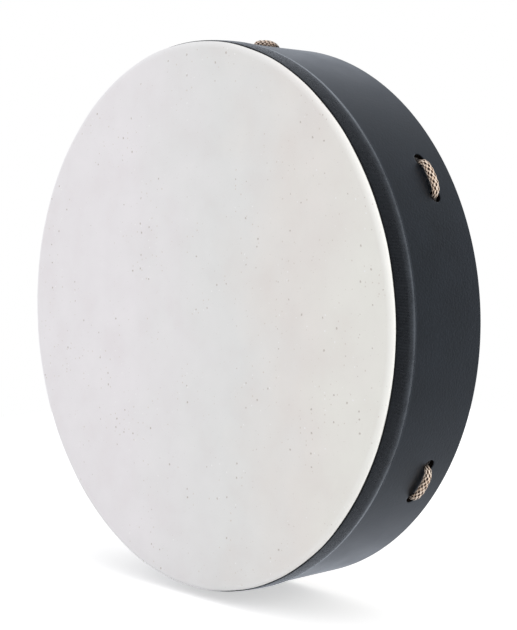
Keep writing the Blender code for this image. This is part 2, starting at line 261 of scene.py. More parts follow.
def makeWrapVinyl():
    made, add, shader = newMaterial("charcoalVinyl", {"IOR": 1.5})
    place = add("TexCoord").outputs["Object"]
    cloud = add("TexNoise", {"Vector": place, "Scale": patternScale(30), "Detail": 5.0, "Roughness": 0.6})
    grain = {"Vector": place, "Scale": patternScale(skin["pebble"]), "Detail": 3.0, "Roughness": 0.55}
    pebbles = add("TexNoise", grain)
    colour = add("ValToRGB", {"Fac": cloud}, [(0.3, "#0b1015"), (0.5, "#0e141a"), (0.72, "#12181f")])
    grainy = add("Mix", {0: 0.5, 6: colour, 7: pebbles}, data_type="RGBA", blend_type="OVERLAY")
    # Painted highlight: the skin's front edge, next to the hoop, is lightened grey
    depth = add("SeparateXYZ", {"Vector": place}).outputs["Y"]
    paintedHighlight = add("MapRange", {"Value": depth, **skin["paintedHighlight"]}, interpolation_type="SMOOTHSTEP")
    greyed = add("Mix", {0: paintedHighlight, 6: grainy, 7: linear("#4c525a")}, data_type="RGBA")
    rough = add("MapRange", {"Value": cloud, **skin["roughness"]})
    bump = add("Bump", {"Height": pebbles, "Strength": 0.6, "Distance": 0.2 * mm})
    setInputs(shader, {"Base Color": greyed, "Roughness": rough, "Normal": bump})
    return made


# Shell: wood fibre pressed in layers with resin, and sealed. Dark brown and fibrous, with the
# layers showing as rings on its back rim
def makeShellFibre():
    made, add, shader = newMaterial("pressedWoodFibre", {"IOR": 1.5, "Specular IOR Level": 0.3})
    place = add("TexCoord").outputs["Object"]
    coords = add("UVMap", uv_map="turned")
    drawn = add("Mapping", {"Vector": coords, "Scale": (0.16, 1.0, 1.0)})  # long along the shell
    fibres = add(
        "TexNoise", {"Vector": drawn, "Scale": patternScale(2.2), "Detail": 6.0, "Roughness": 0.65},
    )
    blotch = add("TexNoise", {"Vector": place, "Scale": patternScale(45), "Detail": 4.0})
    shade = add("Math", {0: blotch, 1: 0.45}, operation="MULTIPLY")
    mixed = add("Math", {0: fibres, 1: 0.55, 2: shade}, operation="MULTIPLY_ADD")
    colour = add("ValToRGB", {"Fac": mixed}, [(0.3, "#3a2a20"), (0.5, "#57402f"), (0.7, "#765a43")])
    # Layers 1 mm thick, counted outwards from the axis
    axes = add("SeparateXYZ", {"Vector": place}).outputs
    flat = add("CombineXYZ", {"X": axes["X"], "Y": axes["Z"]})
    fromAxis = add("VectorMath", {0: flat}, operation="LENGTH")
    count = add("Math", {0: fromAxis, 1: patternScale(1.0)}, operation="MULTIPLY")
    layer = add("Math", {0: count, 1: 1.0}, operation="PINGPONG")
    rings = add("MapRange", {"Value": layer, "From Max": 0.5, "To Min": 0.55})
    layered = add("Mix", {0: 0.6, 6: colour, 7: rings}, data_type="RGBA", blend_type="MULTIPLY")
    rough = add(
        "MapRange", {"Value": fibres, "From Min": 0.3, "From Max": 0.7, "To Min": 0.5, "To Max": 0.72},
    )
    bump = add("Bump", {"Height": fibres, "Strength": 0.35, "Distance": 0.25 * mm})
    setInputs(shader, {"Base Color": layered, "Roughness": rough, "Normal": bump})
    return made


# Drilled edges: raw fibre, coloured almost black as painted shade deep in the holes. Dull
def makeDrilledEdge():
    finish = {"Roughness": 0.85, "IOR": 1.5, "Specular IOR Level": 0.15}
    made, add, shader = newMaterial("boreShadeFibre", finish)
    place = add("TexCoord").outputs["Object"]
    boreSpeckle = add("TexNoise", {"Vector": place, "Scale": patternScale(0.8), "Detail": 4.0})
    colour = add("ValToRGB", {"Fac": boreSpeckle}, [(0.35, "#090605"), (0.7, "#1b110b")])
    bump = add("Bump", {"Height": boreSpeckle, "Strength": 0.5, "Distance": 0.2 * mm})
    setInputs(shader, {"Base Color": colour, "Normal": bump})
    return made


# Bond: amber polyurethane glue, squeezed out flat. Glossy, slightly cloudy
def makeGlue():
    made, add, shader = newMaterial("amberGlue", {"Roughness": 0.3, "IOR": 1.5})
    place = add("TexCoord").outputs["Object"]
    cloud = add("TexNoise", {"Vector": place, "Scale": patternScale(5), "Detail": 3.0})
    colour = add("ValToRGB", {"Fac": cloud}, [(0.35, "#8a5a1c"), (0.65, "#b27c33")])
    setInputs(shader, {"Base Color": colour})
    return made


# Rope: braided spun polyester, six strands each way. The strands are cream and lie like grains of rice, with
# painted shade at their sides and in the gaps between them, where the dark brown core also shows. Cut ends
# are melted brown, and inside its holes the rope has painted shade
yarn = {
    "sides": {"From Max": 0.24, "To Min": 0.32},  # painted shade: how a strand darkens, by widths from its side
    "gap": {"From Min": 0.18, "From Max": 0.42},  # how a gap closes, by widths from its corner; its dark is painted shade over the brown core
    "tight": {"From Max": 0.55, "To Min": 0.75, "To Max": 0.0},  # about half of them are partly closed
    "fuzz": 0.5,  # mm; spun fibres are 0.1 mm thick, drawn coarser so that they show
    "tones": [(0.0, "#120805"), (0.34, "#46291a"), (0.66, "#b69b82"), (0.95, "#fdeee0")],
    "dyes": [(0.0, "#ecdccc"), (0.35, "#fbf4ee"), (1.0, "#ffffff")],
    "soil": {"From Min": 0.35, "From Max": 0.7, "To Max": 0.18},
}


def makeRopeBraid():
    finish = {"Roughness": 0.78, "IOR": 1.5, "Specular IOR Level": 0.2}
    fluff = {"Sheen Weight": 0.3, "Sheen Roughness": 0.5}
    made, add, shader = newMaterial("braidedPolyester", {**finish, **fluff})
    coords = add("SeparateXYZ", {"Vector": add("UVMap", uv_map="braid")}).outputs
    ways, wholes, parts = [], [], []
    for operation in ("ADD", "SUBTRACT"):
        ways.append(add("Math", {0: coords["X"], 1: coords["Y"]}, operation=operation))
        wholes.append(add("Math", {0: ways[-1]}, operation="FLOOR"))
        parts.append(add("Math", {0: ways[-1]}, operation="FRACT"))
    strands = add("CombineXYZ", {"X": ways[0], "Y": ways[1]})
    tile = add("Math", {0: wholes[0], 1: wholes[1]}, operation="ADD")
    over = add("Math", {0: tile, 1: 2.0}, operation="FLOORED_MODULO")
    # Which of the two strands lies on top decides what is across it and what is along it
    rises = []
    for first, second in (parts, parts[::-1]):
        share = add("Mix", {0: over, 2: first, 3: second})
        rises.append(add("Math", {0: share, 1: 0.5}, operation="PINGPONG"))
    sides = add("MapRange", {"Value": rises[0], **yarn["sides"]}, interpolation_type="SMOOTHSTEP")
    # The gaps open at the corners, where a strand dives under the next one, some more than others; painted
    # shade darkens them
    nearSide, nearEnd = [
        add("MapRange", {"Value": rise, **yarn["gap"]}, interpolation_type="SMOOTHSTEP") for rise in rises
    ]
    closed = add("Math", {0: nearSide, 1: nearEnd}, operation="MAXIMUM")
    corner = add("VectorMath", {0: strands, 1: (0.5, 0.5, 0)}, operation="ADD")
    nearest = add("VectorMath", {0: corner}, operation="FLOOR")
    chance = add("TexWhiteNoise", {"Vector": nearest}, noise_dimensions="2D")
    tight = add("MapRange", {"Value": chance, **yarn["tight"]})
    gaps = add("Mix", {0: tight, 2: closed, 3: 1.0})
    crown = add("Math", {0: sides, 1: gaps}, operation="MULTIPLY")
    place = add("TexCoord").outputs["Object"]
    fluffy = {"Vector": place, "Scale": patternScale(yarn["fuzz"]), "Detail": 4.0, "Roughness": 0.7}
    fuzz = add("TexNoise", fluffy)
    rough = add("Math", {0: fuzz, 1: 0.5, 2: -0.25}, operation="MULTIPLY_ADD")
    tone = add("Math", {0: crown, 1: rough}, operation="ADD", use_clamp=True)
    colour = add("ValToRGB", {"Fac": tone}, yarn["tones"])
    # Each crossing takes its dye a little differently, and the rope is soiled in patches
    cell = add("CombineXYZ", {"X": wholes[0], "Y": wholes[1]})
    lot = add("TexWhiteNoise", {"Vector": cell}, noise_dimensions="3D")
    tan = add("ValToRGB", {"Fac": lot}, yarn["dyes"])
    dyed = add("Mix", {0: 0.75, 6: colour, 7: tan}, data_type="RGBA", blend_type="MULTIPLY")
    soil = add("TexNoise", {"Vector": place, "Scale": patternScale(14), "Detail": 3.0})
    wearAndHighlight = add("MapRange", {"Value": soil, **yarn["soil"]})
    soiled = add("Mix", {0: wearAndHighlight, 6: dyed, 7: linear("#b99a70")}, data_type="RGBA", blend_type="MULTIPLY")
    # Melted ends are dark brown, and so is the rope in its holes, as painted shade with some dust
    meltAndHoleShade = add("Attribute", attribute_name="meltAndHoleShade").outputs["Fac"]
    meltedAndShaded = add("Mix", {0: meltAndHoleShade, 6: soiled, 7: linear("#150806")}, data_type="RGBA")
    bump = add("Bump", {"Height": fuzz, "Strength": 0.4, "Distance": 0.25 * mm})
    setInputs(shader, {"Base Color": meltedAndShaded, "Normal": bump})
    return made


headLaminate = makeHeadLaminate()
hoopCloth = makeHoopCloth()
wrapVinyl = makeWrapVinyl()
shellFibre = makeShellFibre()
drilledEdge = makeDrilledEdge()
glue = makeGlue()
ropeBraid = makeRopeBraid()
print("materials made")


def polar(radius, angle, depth=0.0):
    return np.array([radius * math.cos(angle), depth, radius * math.sin(angle)])


def arc(centre, radius, start, stop, steps):
    angles = np.radians(np.linspace(start, stop, steps + 1))
    return [(centre[0] + radius * math.cos(a), centre[1] - radius * math.sin(a)) for a in angles]


def bridge(faces, near, far):
    # Faces between two closed rows of points; at the axis, where points fall together, they are triangles
    for k in range(len(near)):
        n = (k + 1) % len(near)
        faces.append(list(dict.fromkeys([near[k], near[n], far[n], far[k]])))


def placeMesh(mesh, finish):
    mesh.materials.append(finish)
    made = bpy.data.objects.new(mesh.name, mesh)
    bpy.context.scene.collection.objects.link(made)
    return made


def makePiece(name, vertices, faces, finish, sharp):
    mesh = bpy.data.meshes.new(name)
    mesh.from_pydata(vertices, [], faces)
    tidy = bmesh.new()
    tidy.from_mesh(mesh)
    bmesh.ops.recalc_face_normals(tidy, faces=tidy.faces)
    tidy.to_mesh(mesh)
    tidy.free()
    mesh.shade_smooth()
    mesh.set_sharp_from_angle(angle=math.radians(sharp))
    made = placeMesh(mesh, finish)
    return made


def readAll(items, name, kind=int, width=1):
    values = np.empty(len(items) * width, dtype=kind)
    items.foreach_get(name, values)
    return values


def addTurnedMap(piece):
    # Flat coordinates in metres for a turned skin: round the drum, and across its section
    mesh = piece.data
    spots = readAll(mesh.vertices, "co", float, 3).reshape(-1, 3)
    radius = np.hypot(spots[:, 0], spots[:, 2])
    angle = np.arctan2(spots[:, 2], spots[:, 0])
    size = drum["wrapOuter"]
    flat = np.stack([angle * size, spots[:, 1] + radius], axis=1)[readAll(mesh.loops, "vertex_index")]
    # A face that crosses the join of the angle keeps all its corners on one side
    start = np.repeat(flat[readAll(mesh.polygons, "loop_start"), 0], readAll(mesh.polygons, "loop_total"))
    flat[:, 0] -= np.round((flat[:, 0] - start) / (2 * math.pi * size)) * 2 * math.pi * size
    layer = mesh.uv_layers.new(name="turned")
    layer.data.foreach_set("uv", flat.ravel())


def turnedFaces(profile, steps, closed):
    vertices, rings, faces = [], [], []
    for radius, depth in profile:
        if radius == 0:
            rings.append([len(vertices)] * steps)
            vertices.append((0, depth, 0))
        else:
            rings.append(list(range(len(vertices), len(vertices) + steps)))
            vertices += [polar(radius, 2 * math.pi * k / steps, depth) for k in range(steps)]
    for near, far in zip(rings, rings[1:] + rings[:1] if closed else rings[1:]):
        bridge(faces, near, far)
    return vertices, faces


# Head: a flat membrane whose edge rolls over into the collar that is glued under the hoop
head = {
    "thickness": 1.2 * mm,
    "lip": 0.8 * mm,  # how far its roll stands out over the collar
    "lipDepth": 3.0 * mm,  # from the face to the widest part of the roll
    "rollWidth": 5.0 * mm,  # of the bend from the flat face to the widest part
    "tuck": 0.9 * mm,  # radius of the roll behind that
    "tuckAngle": -80,
    "tuckSteps": 5,
    "uneven": 0.11 * mm,  # height of the waves in which the tucked edge wanders in and out
    "waves": ((7, 1.0, 1.0), (17, 2.5, 1.0), (29, 0.0, 0.7)),  # count in a turn, phase, share of that height
    "steps": 240,
    "rollSteps": 14,
    "rings": (14, 40, 70, 100, 130, 160, 185),  # mm
    "sharp": 50,  # degrees
}
edgeCentre = (drum["collarOuter"] - drum["edgeRadius"], drum["face"] + drum["edgeRadius"])
collarEnd = drum["shoulder"] - drum["fitGap"]
headProfile = [(r * mm, drum["face"]) for r in (0, *head["rings"])]
lipRadius = drum["collarOuter"] + head["lip"]
lipDepth = drum["face"] + head["lipDepth"]
for across, drop in arc((0, 0), 1, 90, 0, head["rollSteps"]):
    headProfile.append((lipRadius - head["rollWidth"] * (1 - across), lipDepth + head["lipDepth"] * drop))
tuckCentre = (lipRadius - head["tuck"], lipDepth)
headProfile += arc(tuckCentre, head["tuck"], 0, head["tuckAngle"], head["tuckSteps"])[1:]
headProfile += [(drum["collarOuter"], collarEnd), (drum["collarOuter"] - head["thickness"], collarEnd)]
headProfile += arc(edgeCentre, drum["edgeRadius"] - head["thickness"], 0, 90, head["rollSteps"])
headProfile += [(r * mm, drum["face"] + head["thickness"]) for r in (*head["rings"][::-1], 0)]
headVertices, headFaces = turnedFaces(headProfile, head["steps"], False)
rolled = range(1 + len(head["rings"]), len(head["rings"]) + head["rollSteps"] + head["tuckSteps"])
for row in rolled:
    first = 1 + (row - 1) * head["steps"]
    hold = (headProfile[row][0] - headProfile[rolled[0]][0]) / head["rollWidth"]
    for k in range(first, first + head["steps"]):
        turn = 2 * math.pi * (k - first) / head["steps"]
        wave = sum(share * math.sin(count * turn + phase) for count, phase, share in head["waves"])
        headVertices[k] = headVertices[k] + polar(head["uneven"] * hold * wave, turn)
drumHead = makePiece("drumHead", headVertices, headFaces, headLaminate, head["sharp"])
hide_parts("drum_head")
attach(drumHead, "drum")

# Hoop: a cloth strap that rises to a crown near its back edge and rounds down behind it
hoop = {
    "steps": 360,
    "crown": 15.2 * mm,  # from its front edge to the crown
    "frontDrop": 0.9 * mm,
    "backDrop": 0.92 * mm,
    "backBend": 1.7,
    "corner": 0.6 * mm,
    "backCorner": 0.2 * mm,
    "cornerSteps": 5,
    "slopeSteps": 8,
    "sharp": 50,  # degrees
}
hoopWidth = drum["hoopBack"] - drum["hoopFront"]
hoopProfile = [(drum["hoopInner"], drum["hoopFront"])]
frontCorner = (drum["hoopOuter"] - hoop["frontDrop"] - hoop["corner"], drum["hoopFront"] + hoop["corner"])
hoopProfile += arc(frontCorner, hoop["corner"], 90, 0, hoop["cornerSteps"])
slope = np.linspace(0, 1, hoop["slopeSteps"] + 1)[1:]
for share in slope:
    depth = drum["hoopFront"] + hoop["corner"] + share * (hoop["crown"] - hoop["corner"])
    hoopProfile.append((drum["hoopOuter"] - hoop["frontDrop"] * (1 - share) ** 2, depth))
backFlat = hoopWidth - hoop["backCorner"] - hoop["crown"]
for share in slope:
    depth = drum["hoopFront"] + hoop["crown"] + share * backFlat
    fall = share * backFlat / (hoopWidth - hoop["crown"])
    hoopProfile.append((drum["hoopOuter"] - hoop["backDrop"] * fall ** hoop["backBend"], depth))
backCorner = (hoopProfile[-1][0] - hoop["backCorner"], drum["hoopBack"] - hoop["backCorner"])
hoopProfile += arc(backCorner, hoop["backCorner"], 0, -90, hoop["cornerSteps"])[1:]
hoopProfile.append((drum["hoopInner"], drum["hoopBack"]))
hoopVertices, hoopFaces = turnedFaces(hoopProfile, hoop["steps"], True)
headHoop = makePiece("headHoop", hoopVertices, hoopFaces, hoopCloth, hoop["sharp"])
addTurnedMap(headHoop)
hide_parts("head_hoop")
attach(headHoop, "drum")
print("head and hoop turned")


def stitchMiddle(index):
    step = 360 / stitchCount
    return math.radians(rope["topStitch"] + index * step + rope["drift"][index % stitchCount])


holeAngle = math.asin(rope["holeSpacing"] / 2 / drum["wrapOuter"])
holeAngles = sorted(
    (stitchMiddle(i) + side * holeAngle) % (2 * math.pi) for i in range(stitchCount) for side in (-1, 1)
)

# Shell and wrap: walls of a drilled cylinder, each hole in a patch of its own in the grid of faces
wall = {
    "patch": 7.0 * mm,  # half the width of the patch round a hole
    "patchSteps": 8,
    "columnStep": 1.2,  # degrees between columns of the grid
    "rowStep": 6.0 * mm,
    "lips": (0.0, 0.18 * mm, 0.45 * mm, 1.0 * mm),  # rings of faces outwards from the edge of a hole
    "sharp": 40,  # degrees
}
patchRows = np.linspace(-wall["patch"], wall["patch"], wall["patchSteps"] + 1)


def rowDepths(start, stop):
    count = max(1, round(abs(stop - start) / wall["rowStep"]))
    return list(np.linspace(start, stop, count + 1))


def straightRows(radius, start, stop):
    depths = rowDepths(start, -wall["patch"])[:-1] + list(patchRows) + rowDepths(wall["patch"], stop)[1:]
    return [(radius, depth) for depth in depths]


def drilledSkin(vertices, faces, profile, radius, easing):
    # One side of the wall: rows of the profile (radius, depth), with the hole patches on its straight stretch
    columns, patches = [], []
    for order, hole in enumerate(holeAngles):
        patches.append(len(columns))
        columns += [hole + math.asin(u / radius) for u in patchRows]
        following = holeAngles[(order + 1) % len(holeAngles)]
        if order + 1 == len(holeAngles):
            following += 2 * math.pi
        gapStart = columns[-1]
        gapStop = following - math.asin(wall["patch"] / radius)
        count = math.ceil((gapStop - gapStart) / math.radians(wall["columnStep"]))
        columns += list(np.linspace(gapStart, gapStop, count + 1)[1:-1])
    width = len(columns)
    firstRow = next(i for i, (_, depth) in enumerate(profile) if abs(depth + wall["patch"]) < 1e-9)
    base = len(vertices)
    for rowRadius, depth in profile:
        vertices.extend(polar(rowRadius, angle, depth) for angle in columns)

    def at(row, column):
        return base + row * width + column % width

    steps = wall["patchSteps"]
    drilled = {(firstRow + r, start + c) for start in patches for r in range(steps) for c in range(steps)}
    for row in range(len(profile) - 1):
        for c in range(width):
            if (row, c) not in drilled:
                faces.append([at(row, c), at(row, c + 1), at(row + 1, c + 1), at(row + 1, c)])
    bores, lips = [], []
    rim = [(0, c) for c in range(steps)] + [(r, steps) for r in range(steps)]
    rim += [(steps, c) for c in range(steps, 0, -1)] + [(r, 0) for r in range(steps, 0, -1)]
    for hole, start in zip(holeAngles, patches):
        loop = [at(firstRow + r, start + c) for r, c in rim]
        for lip, drop in zip(reversed(wall["lips"]), reversed(easing)):
            inner = list(range(len(vertices), len(vertices) + len(rim)))
            reach = rope["holeRadius"] + lip
            for r, c in rim:
                turn = math.atan2(patchRows[r], patchRows[c])
                angle = hole + math.asin(reach * math.cos(turn) / radius)
                vertices.append(polar(radius - drop, angle, reach * math.sin(turn)))
            if lip < wall["lips"][-1]:
                lips += range(len(faces), len(faces) + len(loop))
            bridge(faces, loop, inner)
            loop = inner
        bores.append(loop)
    ends = [[at(row, c) for c in range(width)] for row in (0, len(profile) - 1)]
    return bores, ends, lips


def drilledWall(name, outside, inside, outRadius, inRadius, easing, finish, shadedLips=False):
    vertices, faces = [], []
    outer, outerEnds, outerLips = drilledSkin(vertices, faces, outside, outRadius, easing)
    inner, innerEnds, _ = drilledSkin(vertices, faces, inside, inRadius, [-e for e in easing])
    for near, far in zip(outerEnds + outer, innerEnds + inner):
        bridge(faces, near, far)
    made = makePiece(name, vertices, faces, finish, wall["sharp"])
    # The bores are the last faces
    made.data.materials.append(drilledEdge)
    inBores = len(outer) * len(outer[0])
    finishes = [0] * (len(faces) - inBores) + [1] * inBores
    # The shell's lips round each hole take the same near-black painted shade
    for face in outerLips if shadedLips else []:
        finishes[face] = 1
    made.data.polygons.foreach_set("material_index", finishes)
    addTurnedMap(made)
    return made


# Wrap: its cut edges are slightly eased, and it is drawn in a little at the lip of each hole
wrap = {
    "front": -41.8 * mm,
    "easedEdge": 0.1 * mm,
    "easing": ((1.0, 0.0), (0.3, 0.3), (0.0, 1.0)),  # shares of that, inwards and along
    "edgeRow": 0.3 * mm,  # a narrow row of faces beside each edge keeps the easing out of the flat skin
    "lipDrop": (0.25 * mm, 0.1 * mm, 0.02 * mm, 0.0),
}
outer, wrapBack = drum["wrapOuter"], drum["rim"] - drum["fitGap"]
eased = [(inwards * wrap["easedEdge"], along * wrap["easedEdge"]) for inwards, along in wrap["easing"]]
edgeWidth = wrap["easedEdge"] + wrap["edgeRow"]
wrapOutside = [(outer - inwards, wrap["front"] + along) for inwards, along in eased]
wrapOutside += straightRows(outer, wrap["front"] + edgeWidth, wrapBack - edgeWidth)
wrapOutside += [(outer - inwards, wrapBack - along) for inwards, along in reversed(eased)]
wrapInside = straightRows(drum["wrapInner"], wrap["front"], wrapBack)
shellWrap = drilledWall(
    "shellWrap", wrapOutside, wrapInside, outer, drum["wrapInner"], wrap["lipDrop"], wrapVinyl,
)
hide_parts("shell_wrap")
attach(shellWrap, "drum")

# Shell: rounded bearing edge under the head, a rabbet for the collar, and an eased flat rim behind
shell = {
    "rabbet": 199.4 * mm,
    "rimEase": 1.0 * mm,
    "easeSteps": 5,
    "bearingSteps": 6,
    "crestWidth": 0.02 * mm,  # of the flat on top of the bearing edge
    "lipDrop": (0.3 * mm, 0.12 * mm, 0.03 * mm, 0.0),
}
outer, inner = drum["shellOuter"], drum["shellInner"]
bearingRadius = drum["edgeRadius"] - head["thickness"] - drum["fitGap"]
bearingStop = math.degrees(math.acos((shell["rabbet"] - edgeCentre[0]) / bearingRadius))
shellOutside = arc(edgeCentre, bearingRadius, 90, bearingStop, shell["bearingSteps"])
shellOutside += [(shell["rabbet"], drum["shoulder"])]
shellOutside += straightRows(outer, drum["shoulder"], drum["rim"])
innerRounding = edgeCentre[0] - inner
crestDepth = edgeCentre[1] - bearingRadius
innerCentre = (edgeCentre[0], crestDepth + innerRounding)
innerEdge = arc(innerCentre, innerRounding, 90, 180, shell["bearingSteps"])
rimCentre = (inner + shell["rimEase"], drum["rim"] - shell["rimEase"])
shellInside = [(edgeCentre[0] - shell["crestWidth"], crestDepth)] + innerEdge[1:-1]
shellInside += straightRows(inner, innerEdge[-1][1], rimCentre[1])
shellInside += arc(rimCentre, shell["rimEase"], 180, 270, shell["easeSteps"])[1:]
drumShell = drilledWall(
    "drumShell", shellOutside, shellInside, outer, inner, shell["lipDrop"], shellFibre,
    shadedLips=True,
)
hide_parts("shell")
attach(drumShell, "drum")
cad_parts["collar_bond"].data.materials.clear()
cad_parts["collar_bond"].data.materials.append(glue)
print("shell and wrap drilled")

# Rope routes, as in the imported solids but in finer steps, and the stitches' ends lean in their holes
ropeSteps = {"buried": 8, "crest": 40, "leg": 60, "wind": 24, "twist": 48, "turn": 40}
ropeOffset = rope["holeRadius"] - rope["radius"] - rope["gap"]
ropeCut = (drum["shellInner"] + drum["shellOuter"]) / 2
ring = {"radius": 35.0 * mm, "rounds": 3, "twists": 14, "layGap": 1.2 * mm}
strandOffset = (2 * rope["radius"] + ring["layGap"]) / (2 * math.sin(math.pi / ring["rounds"]))
bightRadius = strandOffset + 2 * rope["radius"] + rope["gap"]


def cubic(a, b, c, d, steps):
    t = np.linspace(0, 1, steps + 1)[:, None]
    return (1 - t) ** 3 * a + 3 * t * (1 - t) ** 2 * b + 3 * t**2 * (1 - t) * c + t**3 * d


def travel(path):
    step = np.linalg.norm(np.diff(path, axis=0), axis=1)
    return np.concatenate([[0], np.cumsum(step)])


def pointAt(distance, travelled, path):
    return np.stack([np.interp(distance, travelled, path[:, i]) for i in range(3)], axis=-1)


def holeLine(angle, side, radius):
    return polar(radius, angle) + polar(side * ropeOffset, angle + math.pi / 2)


stitchBend = {
    # Where the two ends lie in their holes, along the shell and towards the back, and how far they rise
    # straight out, in mm
    "ends": (
        ((1.3, -1.1, 0.5), (-2.8, -0.8, 3.0)),
        ((0.9, -1.1, 3.0), (-1.6, -1.1, 3.0)),
        ((1.7, -1.1, 3.0), (-1.0, -1.1, 3.0)),
        ((1.1, -1.1, 3.0), (-1.5, -1.1, 3.0)),
        ((0.8, -1.1, 3.0), (-0.8, -2.2, 3.0)),
        ((-0.6, -1.6, 3.0), (-2.5, -1.1, 3.0)),
    ),
    "crestShift": (1.8, 0, 0, 0, 0, 0),  # mm along the shell
    "below": 1.6 * mm,  # under the wrap, where the bend starts
    "run": 8.0 * mm,  # reach of the crest before its highest point
    "endShare": 0.58,  # of the rope's thickness, where it is drawn into the hole
    "filledShare": 1.24,  # and deeper in the wall, where it is bunched up and fills the hole
    "filledBend": 4,  # how late it bunches up
    "slack": (0.1, 0.4, 0.5, 0.4, 0.7, 0.7),  # mm of air under the middle of each stitch
    "crestShare": 0.88,
    "crestBend": 1.2,
    "flat": 1.18,  # width over height, pressed on the wrap
}


def stitchPath(index):
    # One half from inside the wall to the crest, in the stitch's plane: along the shell, outwards, in depth
    halves = []
    endShare, crestShare = stitchBend["endShare"], stitchBend["crestShare"]
    crestHeight = crestShare * rope["radius"] + stitchBend["slack"][index] * mm
    top = np.array([stitchBend["crestShift"][index] * mm, drum["wrapOuter"] + crestHeight, 0])
    filledHeight = ropeCut + drum["fitGap"] / 2
    bendHeight = drum["wrapOuter"] - stitchBend["below"]
    for side, (lean, depth, rise) in zip((-1, 1), stitchBend["ends"][index]):
        foot = side * rope["holeSpacing"] / 2
        start = np.array([foot, filledHeight, 0])
        low = np.array([foot + lean * mm, bendHeight, depth * mm])
        upwards = np.array([0, (bendHeight - filledHeight) / 2, 0])
        rising = low + (0, stitchBend["below"] + rise * mm, 0)
        buried = cubic(start, start + upwards, low - upwards, low, ropeSteps["buried"])
        crest = cubic(low, rising, top + (side * stitchBend["run"], 0, 0), top, ropeSteps["crest"])
        halves.append(np.vstack([buried[:-1], crest]))
    whole = np.vstack([halves[0], halves[1][-2::-1]])
    risen = np.clip((whole[:, 1] - drum["wrapOuter"]) / crestHeight, 0, 1)
    shares = endShare + (crestShare - endShare) * risen ** stitchBend["crestBend"]
    filled = np.clip((bendHeight - whole[:, 1]) / (bendHeight - filledHeight), 0, 1)
    shares += (stitchBend["filledShare"] - endShare) * filled ** stitchBend["filledBend"]
    middle = stitchMiddle(index)
    return whole @ np.stack([polar(1, middle + math.pi / 2), polar(1, middle), -towardsHead]), shares


def spanPath(index):
    middle, following = stitchMiddle(index), stitchMiddle(index + 1)
    if following < middle:
        following += 2 * math.pi
    bight = (middle + following) / 2
    out = polar(1, bight)
    along = polar(1, bight + math.pi / 2)
    hole = middle + holeAngle
    wallSpot = holeLine(hole, -1, drum["shellInner"])
    run = polar(ring["radius"], bight) - wallSpot
    slope = (run @ along) / -(run @ out)
    quarter = np.linspace(math.pi / 2, math.pi, ropeSteps["wind"] + 1)
    outwards = ring["radius"] + bightRadius * np.cos(quarter)
    sideways = slope * bightRadius * (quarter - math.pi)
    wound = np.stack([outwards, sideways, -bightRadius * np.sin(quarter)], axis=1)
    heading = np.array([-1, slope, 0]) / math.hypot(1, slope)
    axes = np.stack([out, along, towardsHead])
    start = axes @ holeLine(hole, -1, ropeCut - drum["fitGap"] / 2)
    mouth = axes @ wallSpot
    lead = axes @ holeLine(hole, -1, drum["shellInner"] - rope["leadIn"])
    leg = cubic(mouth, lead, wound[0] - heading * rope["leadIn"], wound[0], ropeSteps["leg"])
    half = np.vstack([start, leg, wound[1:]])
    whole = np.vstack([half, (half * (1, -1, -1))[-2::-1]])
    return whole @ axes, out


def ringPath():
    turn = np.linspace(0, 2 * math.pi, ring["twists"] * ropeSteps["twist"], endpoint=False)
    lay = ring["twists"] * turn
    radius = ring["radius"] + strandOffset * np.cos(lay)
    angle = ring["rounds"] * turn
    return np.stack([radius * np.cos(angle), -strandOffset * np.sin(lay), radius * np.sin(angle)], axis=1)


knot = {
    "span": 3,  # which span it is on, counted from 0
    "fromWall": 30.0 * mm,
    "turns": 6,
    "gap": 0.6 * mm,
    "tail": 14.0 * mm,
    "samples": 2000,
    "tailSteps": 4,  # steps along the two tails, in turns' worth
}


def knotPath(core):
    pitch = 2 * rope["radius"] + knot["gap"]
    winding = 2 * rope["radius"] + rope["gap"]
    ramp = pitch / 2
    tail = knot["tail"]
    length = knot["turns"] * pitch + 2 * (tail + ramp)
    fine = np.linspace(0, length, knot["samples"])
    rate = np.clip(np.minimum(fine - tail, length - tail - fine) / ramp, 0, 1)
    angle = np.cumsum(rate) * (fine[1] - fine[0]) * 2 * math.pi / pitch
    travelled = travel(core)
    path = []
    for distance in np.linspace(0, length, (knot["turns"] + knot["tailSteps"]) * ropeSteps["turn"]):
        at = knot["fromWall"] + distance
        centre = pointAt(at, travelled, core)
        ahead = pointAt(at + rope["radius"], travelled, core)
        forward = (ahead - centre) / np.linalg.norm(ahead - centre)
        side = np.cross(forward, towardsHead)
        side /= np.linalg.norm(side)
        above = np.cross(side, forward)
        turn = np.interp(distance, fine, angle)
        path.append(centre + winding * (math.cos(turn) * above + math.sin(turn) * side))
    return np.array(path)


# Braid: how round a strand is across, and how far it dips at the ends of a crossing
braid = {"roundness": 0.6, "dip": 0.55, "dipBend": 4}
ropeEnd = {
    "seal": 2.2 * mm,  # length of a melted end
    "sealStart": 0.35,
    "dome": 1.6 * mm,
    "domeLeast": 0.09,  # square of the narrowest section, as a share
    "dustAndShadeOutside": 1.9 * mm,  # over the wrap, and inwards of the shell, where the painted shade and dust start
    "dustAndShadeInside": 1.0 * mm,
    "dustAndShadeLength": 2.4 * mm,
    "dustAndShadeShares": (0.95, 0.05),  # over the first length and the next
    "sectionStart": np.array([0.3, -1.0, 0.2]),  # a direction that no rope starts in
}


def braidHeight(around, along):
    # Height of the braid's surface, from 0 in the gaps to 1 on the crown of a strand
    a, b = around + along, around - along
    over = np.mod(np.floor(a) + np.floor(b), 2) > 0.5
    partA, partB = a - np.floor(a), b - np.floor(b)
    across = np.where(over, partB, partA)
    length = np.where(over, partA, partB)
    crown = np.clip(1 - (2 * across - 1) ** 2, 0, 1) ** braid["roundness"]
    return crown * (1 - braid["dip"] * (2 * length - 1) ** braid["dipBend"])


